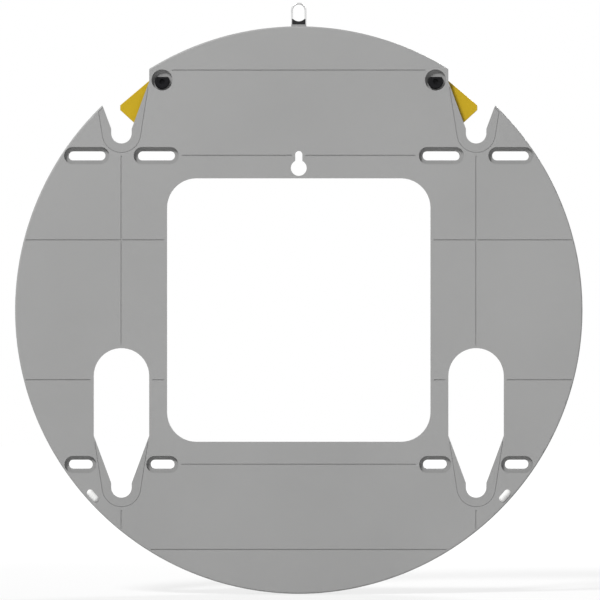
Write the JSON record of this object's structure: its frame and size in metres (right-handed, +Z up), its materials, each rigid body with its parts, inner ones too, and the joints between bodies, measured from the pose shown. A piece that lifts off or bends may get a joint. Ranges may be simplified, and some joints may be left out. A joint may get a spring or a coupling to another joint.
{
  "type": "display wall mount",
  "caption": "Round flat wall plate with a square centre opening, hooks and keyholes that a display hangs in, and spring-closed latches freed by a pull loop.",
  "frame": {"origin": "centre of the round plate, on the plane of the wall", "axes": "+X to the right seen from the front, +Y into the wall, +Z up"},
  "size_m": [0.56, 0.0224, 0.584],
  "materials": {
    "plate_paint": "matte powder coat",
    "frame_paint": "matte powder coat",
    "liner_paint": "matte powder coat",
    "latch_paint": "satin yellow paint",
    "black_steel": "black oxide",
    "zinc_steel": "zinc plated",
    "bar_steel": "rolled and plated",
    "bright_steel": "drawn wire",
    "spring_steel": "drawn wire",
    "bronze": "sintered bush",
    "collar_paint": "matte powder coat",
    "black_plastic": "moulded",
    "pale_rubber": "matte"
  },
  "bodies": {
    "mount_frame": {"front_plate": "plate_paint", "rear_frame": "frame_paint", "plate_studs": "zinc_steel", "stud_nuts": "zinc_steel", "left_hook_liner": "liner_paint", "right_hook_liner": "liner_paint", "left_slot_liner": "liner_paint", "right_slot_liner": "liner_paint", "left_pivot_screw": "black_steel", "right_pivot_screw": "black_steel", "left_pivot_washer": "zinc_steel", "right_pivot_washer": "zinc_steel", "left_pivot_nut": "zinc_steel", "right_pivot_nut": "zinc_steel", "bar_guide_screws": "zinc_steel", "rod_guide": "collar_paint", "return_spring": "spring_steel", "left_bumper": "pale_rubber", "right_bumper": "pale_rubber"},
    "release": {"release_bar": "bar_steel", "rod_block": "bar_steel", "block_rivets": "zinc_steel", "pull_rod": "bright_steel", "pull_block": "black_plastic", "pull_loop": "bright_steel"},
    "left_catch": {"left_latch": "latch_paint", "left_latch_bush": "bronze", "left_drive_pin": "bright_steel"},
    "right_catch": {"right_latch": "latch_paint", "right_latch_bush": "bronze", "right_drive_pin": "bright_steel"}
  },
  "joints": [
    {"name": "release_pull", "type": "slide", "parent": "mount_frame", "child": "release", "axis": [0, 0, 1], "range_m": [0, 0.01745], "stiffness_N_per_m": 400, "springref_m": -0.02, "deforming": ["return_spring"]},
    {"name": "left_latch_turn", "type": "hinge", "parent": "mount_frame", "child": "left_catch", "pos_m": [-0.1349, -0.0103, 0.2256], "axis": [0, -1, 0], "range_deg": [0, 25]},
    {"name": "right_latch_turn", "type": "hinge", "parent": "mount_frame", "child": "right_catch", "pos_m": [0.1349, -0.0103, 0.2256], "axis": [0, 1, 0], "range_deg": [0, 25]}
  ],
  "couplings": [
    {"joint": "left_latch_turn", "follows": "release_pull", "rad_per_m": 25},
    {"joint": "right_latch_turn", "follows": "release_pull", "rad_per_m": 25}
  ]
}
